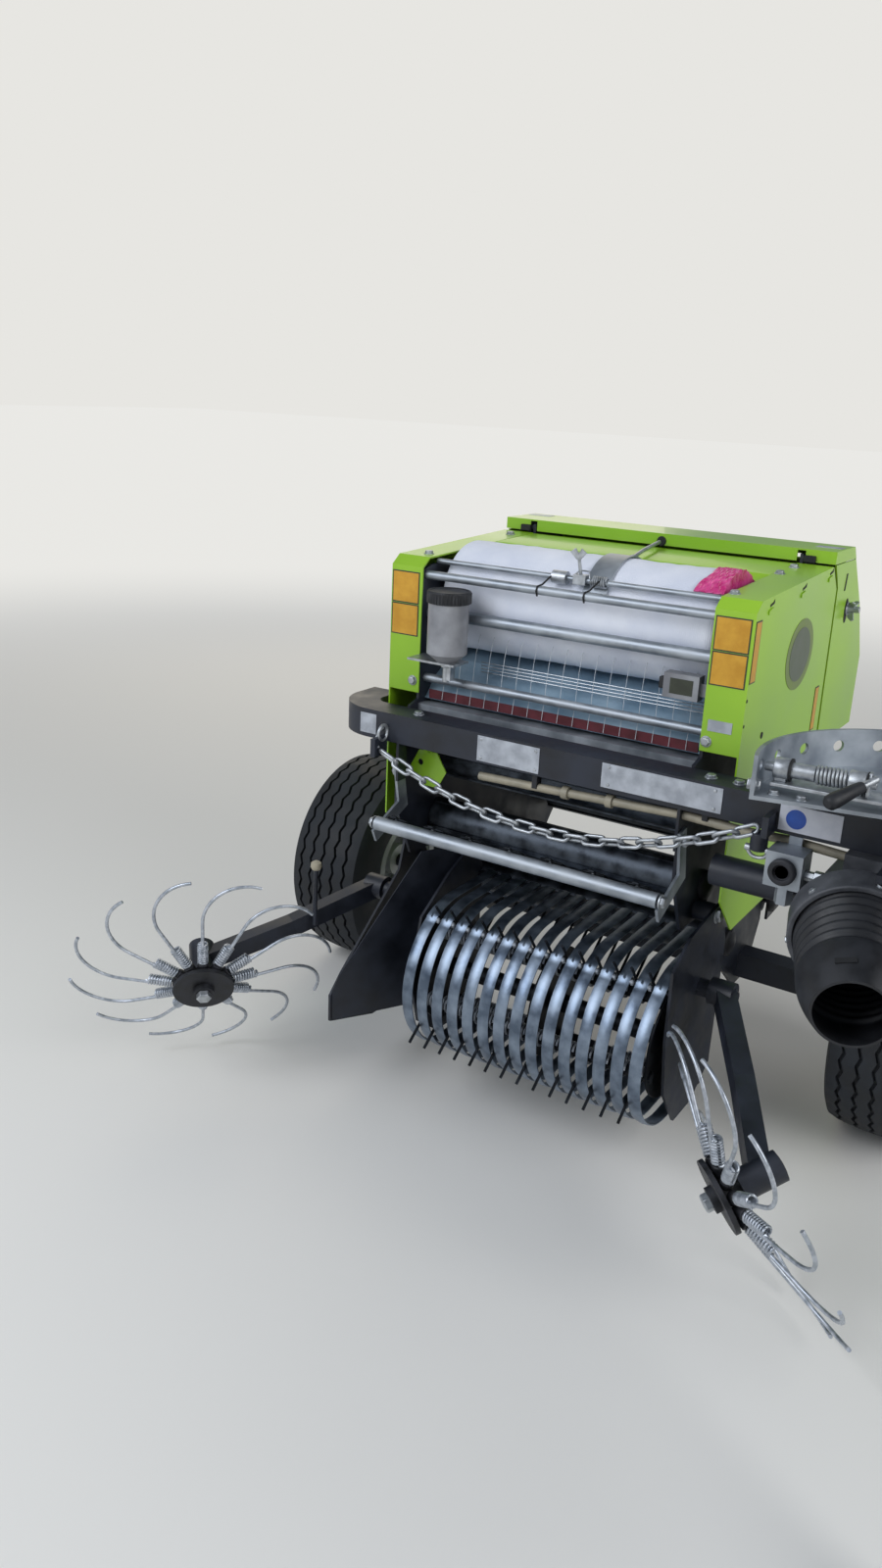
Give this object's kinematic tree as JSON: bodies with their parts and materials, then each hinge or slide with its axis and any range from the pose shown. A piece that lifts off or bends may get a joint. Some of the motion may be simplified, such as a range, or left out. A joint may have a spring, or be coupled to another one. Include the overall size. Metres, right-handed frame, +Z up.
{
  "type": "towed mini round baler",
  "caption": "Towed mini round baler with pickup reel, spring-tine side rake wheels, net wrap bay, hinged rear gate and offset drawbar.",
  "frame": {"origin": "middle of the base on the ground", "axes": "+X to the machine's left side, +Y to its rear, +Z up; the tow eye points to -Y"},
  "size_m": [1.7544, 1.8348, 1.074],
  "materials": {
    "green_paint": "gloss",
    "black_paint": "satin",
    "galvanised": "satin",
    "roller_steel": "satin",
    "tyre_rubber": "matte",
    "net_white": "matte",
    "jar_plastic": "satin",
    "black_plastic": "satin",
    "spring_wire": "satin",
    "rim_paint": "gloss",
    "hub_casting": "satin"
  },
  "bodies": {
    "chassis": {"axle": "black_paint", "chain": "galvanised", "chain_lugs": "black_paint", "counter": "jar_plastic", "cover_left": "green_paint", "cover_right": "green_paint", "cross_beam": "black_paint", "drive_shaft": "black_paint", "frame_left": "black_paint", "frame_right": "black_paint", "front_angle": "galvanised", "gearbox": "hub_casting", "net_brake": "galvanised", "net_rods": "galvanised", "net_roll": "net_white", "net_tray": "galvanised", "oiler": "jar_plastic", "oiler_bracket": "galvanised", "oiler_lid": "black_plastic", "quadrant": "galvanised", "rollers_front": "roller_steel", "shaft_cone": "black_plastic", "tag_plate": "green_paint", "valve_block": "galvanised"},
    "wheel_right": {"tyre_right": "tyre_rubber", "rim_right": "rim_paint"},
    "wheel_left": {"tyre_left": "tyre_rubber", "rim_left": "rim_paint"},
    "gate": {"gate_frame_right": "black_paint", "gate_frame_left": "black_paint", "gate_cover_right": "green_paint", "gate_cover_left": "green_paint", "gate_back": "green_paint", "gate_hood": "green_paint", "rollers_rear": "roller_steel"},
    "drawbar": {"drawbar": "black_paint", "tow_eye": "hub_casting", "index_lever": "galvanised", "jack_sleeve": "black_paint"},
    "jack": {"jack_leg": "galvanised"},
    "pickup": {"pickup_frame": "black_paint", "pickup_bands": "galvanised"},
    "reel": {"pickup_reel": "hub_casting"},
    "wind_guard": {"wind_guard": "galvanised", "guard_tines": "black_paint"},
    "rake_arm_right": {"rake_arm_right": "black_paint"},
    "rake_arm_left": {"rake_arm_left": "black_paint"},
    "rake_wheel_right": {"star_hub_right": "hub_casting", "star_tines_right": "spring_wire"},
    "rake_wheel_left": {"star_hub_left": "hub_casting", "star_tines_left": "spring_wire"}
  },
  "joints": [
    {"name": "wheel_spin_right", "type": "hinge", "parent": "chassis", "child": "wheel_right", "pos_m": [-0.75621, 0.5864, 0.242], "axis": [1, 0, 0], "continuous": true},
    {"name": "wheel_spin_left", "type": "hinge", "parent": "chassis", "child": "wheel_left", "pos_m": [0.47779, 0.5864, 0.242], "axis": [1, 0, 0], "continuous": true},
    {"name": "gate_lift", "type": "hinge", "parent": "chassis", "child": "gate", "pos_m": [-0.13921, 0.6394, 1.052], "axis": [1, 0, 0], "range_deg": [0, 55]},
    {"name": "drawbar_swing", "type": "hinge", "parent": "chassis", "child": "drawbar", "pos_m": [0.53079, 0.0614, 0.747], "axis": [0, 0, 1], "range_deg": [-48, 0]},
    {"name": "jack_slide", "type": "slide", "parent": "drawbar", "child": "jack", "axis": [0, 0, 1], "range_m": [0, 0.08]},
    {"name": "pickup_lift", "type": "hinge", "parent": "chassis", "child": "pickup", "pos_m": [-0.13921, 0.2714, 0.47], "axis": [-1, 0, 0], "range_deg": [0, 10]},
    {"name": "reel_spin", "type": "hinge", "parent": "pickup", "child": "reel", "pos_m": [-0.13921, 0.1734, 0.259], "axis": [1, 0, 0], "continuous": true},
    {"name": "guard_lift", "type": "hinge", "parent": "chassis", "child": "wind_guard", "pos_m": [-0.13921, 0.1414, 0.64], "axis": [-1, 0, 0], "range_deg": [0, 40]},
    {"name": "rake_lift_right", "type": "hinge", "parent": "pickup", "child": "rake_arm_right", "pos_m": [-0.51121, 0.2234, 0.35], "axis": [-1, 0, 0], "range_deg": [0, 12]},
    {"name": "rake_lift_left", "type": "hinge", "parent": "pickup", "child": "rake_arm_left", "pos_m": [0.23279, 0.2234, 0.35], "axis": [-1, 0, 0], "range_deg": [0, 12]},
    {"name": "rake_spin_right", "type": "hinge", "parent": "rake_arm_right", "child": "rake_wheel_right", "pos_m": [-0.65521, -0.1326, 0.222], "axis": [0.6411, -0.6211, -0.4508], "continuous": true},
    {"name": "rake_spin_left", "type": "hinge", "parent": "rake_arm_left", "child": "rake_wheel_left", "pos_m": [0.37679, -0.1326, 0.222], "axis": [-0.6411, -0.6211, -0.4508], "continuous": true}
  ]
}
